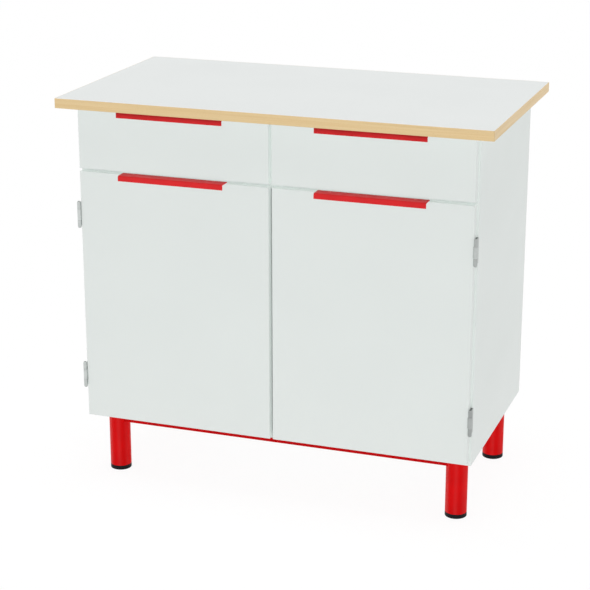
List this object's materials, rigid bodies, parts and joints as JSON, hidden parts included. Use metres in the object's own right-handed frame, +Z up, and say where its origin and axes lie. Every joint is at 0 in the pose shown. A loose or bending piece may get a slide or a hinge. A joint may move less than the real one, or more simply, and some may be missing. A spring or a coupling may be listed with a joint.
{
  "type": "sideboard",
  "caption": "White sideboard with a beech-edged worktop, drawers above hinged doors, red edge handles and a red steel base on tubular legs.",
  "frame": {"origin": "on the floor, under the middle of the worktop", "axes": "+X to the right seen from the front, +Y to the back, +Z up; the fronts face -Y"},
  "size_m": [1, 0.55, 0.918],
  "materials": {
    "white_board": "satin white melamine",
    "white_laminate": "satin white laminate",
    "beech_edging": "satin beech-look edge band",
    "red_paint": "satin red powder coat",
    "black_plastic": "matt black",
    "hinge_nickel": "satin nickel plate",
    "zinc_steel": "bright zinc plate",
    "runner_steel": "white epoxy coat",
    "beech_dowel": "plain beech",
    "catch_plastic": "matt white",
    "drawer_board": "satin white drawer board"
  },
  "bodies": {
    "carcass": {"worktop_board": "white_laminate", "worktop_edging": "beech_edging", "side_panel_left": "white_board", "side_panel_right": "white_board", "bottom_panel": "white_board", "mid_panel": "white_board", "drawer_divider": "white_board", "top_rail_front": "white_board", "top_rail_rear": "white_board", "back_panel": "white_board", "cam_fittings": "zinc_steel", "dowels": "beech_dowel", "shelf": "white_board", "shelf_pins": "zinc_steel", "base_frame": "red_paint", "leg_front_left": "red_paint", "foot_cap_front_left": "black_plastic", "leg_front_right": "red_paint", "foot_cap_front_right": "black_plastic", "leg_rear_left": "red_paint", "foot_cap_rear_left": "black_plastic", "leg_rear_right": "red_paint", "foot_cap_rear_right": "black_plastic", "carcass_screws": "zinc_steel", "hinge_pins": "hinge_nickel", "door_catches": "catch_plastic", "fixed_runners_left": "runner_steel", "hinge_frame_leaves_left": "hinge_nickel", "fixed_runners_right": "runner_steel", "hinge_frame_leaves_right": "hinge_nickel"},
    "drawer_left": {"drawer_front_left": "white_board", "drawer_handle_left": "red_paint", "drawer_side_left_inner": "drawer_board", "drawer_side_left_outer": "drawer_board", "drawer_back_left": "drawer_board", "drawer_bottom_left": "drawer_board", "drawer_runner_left_inner": "runner_steel", "drawer_runner_left_outer": "runner_steel", "drawer_dowels_left": "beech_dowel", "drawer_screws_left": "zinc_steel"},
    "drawer_right": {"drawer_front_right": "white_board", "drawer_handle_right": "red_paint", "drawer_side_right_inner": "drawer_board", "drawer_side_right_outer": "drawer_board", "drawer_back_right": "drawer_board", "drawer_bottom_right": "drawer_board", "drawer_runner_right_inner": "runner_steel", "drawer_runner_right_outer": "runner_steel", "drawer_dowels_right": "beech_dowel", "drawer_screws_right": "zinc_steel"},
    "door_left": {"door_panel_left": "white_board", "door_handle_left": "red_paint", "hinge_door_leaves_left": "hinge_nickel", "door_screws_left": "zinc_steel", "strike_plate_left": "zinc_steel"},
    "door_right": {"door_panel_right": "white_board", "door_handle_right": "red_paint", "hinge_door_leaves_right": "hinge_nickel", "door_screws_right": "zinc_steel", "strike_plate_right": "zinc_steel"}
  },
  "joints": [
    {"name": "drawer_left_slide", "type": "slide", "parent": "carcass", "child": "drawer_left", "axis": [0, -1, 0], "range_m": [0, 0.35]},
    {"name": "drawer_right_slide", "type": "slide", "parent": "carcass", "child": "drawer_right", "axis": [0, -1, 0], "range_m": [0, 0.35]},
    {"name": "door_left_hinge", "type": "hinge", "parent": "carcass", "child": "door_left", "pos_m": [-0.4621, -0.248, 0.45375], "axis": [0, 0, -1], "range_deg": [0, 255]},
    {"name": "door_right_hinge", "type": "hinge", "parent": "carcass", "child": "door_right", "pos_m": [0.4621, -0.248, 0.45375], "axis": [0, 0, 1], "range_deg": [0, 255]}
  ]
}
